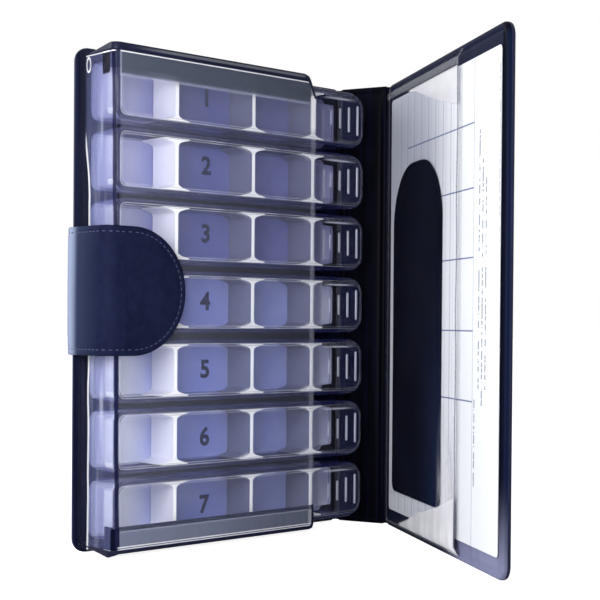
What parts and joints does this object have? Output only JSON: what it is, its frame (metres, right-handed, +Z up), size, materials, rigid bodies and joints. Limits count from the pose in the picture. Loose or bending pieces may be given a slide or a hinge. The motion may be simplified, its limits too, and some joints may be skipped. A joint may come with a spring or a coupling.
{
  "type": "weekly pill organizer",
  "caption": "Vinyl wallet with a clear sleeve of slide-out day boxes with sliding lids and partitions, a card pocket, a flat pouch and a closing strap.",
  "frame": {"origin": "middle of the left panel's bottom edge, at half its thickness, on the surface that the wallet stands on", "axes": "+Z up along the panels' long edges, +X from the left panel's free edge to the spine, +Y to the left panel's outer side, so the boxes face -Y"},
  "size_m": [0.1536, 0.1519, 0.195],
  "materials": {
    "vinyl": "grained vinyl, satin",
    "lining": "smooth vinyl, satin",
    "board": "plain",
    "clear_film": "clear, glossy",
    "box": "clear violet tint, glossy",
    "lid": "clear, glossy",
    "divider": "milky, translucent",
    "card": "matte print",
    "snap": "polished"
  },
  "bodies": {
    "base": {"base_skin": "vinyl", "base_board": "board", "base_lining": "lining", "base_fold": "vinyl", "sleeve_film": "clear_film", "gusset_top": "vinyl", "gusset_bottom": "vinyl", "strap_tail": "vinyl"},
    "spine": {"spine_skin": "vinyl", "spine_board": "board", "spine_lining": "lining", "cover_fold": "vinyl"},
    "cover": {"cover_skin": "vinyl", "cover_board": "board", "cover_lining": "lining", "pocket_film": "clear_film", "snap_stud": "snap"},
    "card": {"record_card": "card"},
    "pouch": {"carry_pouch": "vinyl"},
    "strap_side": {"strap_side": "vinyl"},
    "strap_tongue": {"strap_outer": "vinyl", "strap_lining": "lining", "snap_socket": "snap"},
    "box_1": {"box_1_tray": "box", "box_1_divider_1": "divider", "box_1_divider_2": "divider", "box_1_divider_3": "divider"},
    "lid_1": {"box_1_lid": "lid"},
    "box_2": {"box_2_tray": "box", "box_2_divider_1": "divider", "box_2_divider_2": "divider", "box_2_divider_3": "divider"},
    "lid_2": {"box_2_lid": "lid"},
    "box_3": {"box_3_tray": "box", "box_3_divider_1": "divider", "box_3_divider_2": "divider", "box_3_divider_3": "divider"},
    "lid_3": {"box_3_lid": "lid"},
    "box_4": {"box_4_tray": "box", "box_4_divider_1": "divider", "box_4_divider_2": "divider", "box_4_divider_3": "divider"},
    "lid_4": {"box_4_lid": "lid"},
    "box_5": {"box_5_tray": "box", "box_5_divider_1": "divider", "box_5_divider_2": "divider", "box_5_divider_3": "divider"},
    "lid_5": {"box_5_lid": "lid"},
    "box_6": {"box_6_tray": "box", "box_6_divider_1": "divider", "box_6_divider_2": "divider", "box_6_divider_3": "divider"},
    "lid_6": {"box_6_lid": "lid"},
    "box_7": {"box_7_tray": "box", "box_7_divider_1": "divider", "box_7_divider_2": "divider", "box_7_divider_3": "divider"},
    "lid_7": {"box_7_lid": "lid"}
  },
  "joints": [
    {"name": "spine_hinge", "type": "hinge", "parent": "base", "child": "spine", "pos_m": [0.07115, 0, 0.0975], "axis": [0, 0, 1], "range_deg": [-20.5, 69.5]},
    {"name": "cover_hinge", "type": "hinge", "parent": "spine", "child": "cover", "pos_m": [0.08054, -0.0251, 0.0975], "axis": [0, 0, 1], "range_deg": [-40.2, 49.8]},
    {"name": "strap_side_hinge", "type": "hinge", "parent": "base", "child": "strap_side", "pos_m": [-0.0706, 0.00275, 0.101], "axis": [0, 0, 1], "range_deg": [-115, 0]},
    {"name": "strap_tongue_hinge", "type": "hinge", "parent": "strap_side", "child": "strap_tongue", "pos_m": [-0.0706, -0.02335, 0.101], "axis": [0, 0, 1], "range_deg": [-90, 0]},
    {"name": "card_slide", "type": "slide", "parent": "cover", "child": "card", "axis": [-0.4894, -0.8721, 0], "range_m": [0, 0.1]},
    {"name": "pouch_slide", "type": "slide", "parent": "cover", "child": "pouch", "axis": [-0.4894, -0.8721, 0], "range_m": [0, 0.1]},
    {"name": "box_1_slide", "type": "slide", "parent": "base", "child": "box_1", "axis": [1, 0, 0], "range_m": [0, 0.0078]},
    {"name": "lid_1_slide", "type": "slide", "parent": "box_1", "child": "lid_1", "axis": [1, 0, 0], "range_m": [0, 0.009]},
    {"name": "box_2_slide", "type": "slide", "parent": "base", "child": "box_2", "axis": [1, 0, 0], "range_m": [0, 0.0078]},
    {"name": "lid_2_slide", "type": "slide", "parent": "box_2", "child": "lid_2", "axis": [1, 0, 0], "range_m": [0, 0.009]},
    {"name": "box_3_slide", "type": "slide", "parent": "base", "child": "box_3", "axis": [1, 0, 0], "range_m": [0, 0.0078]},
    {"name": "lid_3_slide", "type": "slide", "parent": "box_3", "child": "lid_3", "axis": [1, 0, 0], "range_m": [0, 0.009]},
    {"name": "box_4_slide", "type": "slide", "parent": "base", "child": "box_4", "axis": [1, 0, 0], "range_m": [0, 0.0078]},
    {"name": "lid_4_slide", "type": "slide", "parent": "box_4", "child": "lid_4", "axis": [1, 0, 0], "range_m": [0, 0.009]},
    {"name": "box_5_slide", "type": "slide", "parent": "base", "child": "box_5", "axis": [1, 0, 0], "range_m": [0, 0.0078]},
    {"name": "lid_5_slide", "type": "slide", "parent": "box_5", "child": "lid_5", "axis": [1, 0, 0], "range_m": [0, 0.009]},
    {"name": "box_6_slide", "type": "slide", "parent": "base", "child": "box_6", "axis": [1, 0, 0], "range_m": [0, 0.0078]},
    {"name": "lid_6_slide", "type": "slide", "parent": "box_6", "child": "lid_6", "axis": [1, 0, 0], "range_m": [0, 0.009]},
    {"name": "box_7_slide", "type": "slide", "parent": "base", "child": "box_7", "axis": [1, 0, 0], "range_m": [0, 0.0078]},
    {"name": "lid_7_slide", "type": "slide", "parent": "box_7", "child": "lid_7", "axis": [1, 0, 0], "range_m": [0, 0.009]}
  ]
}
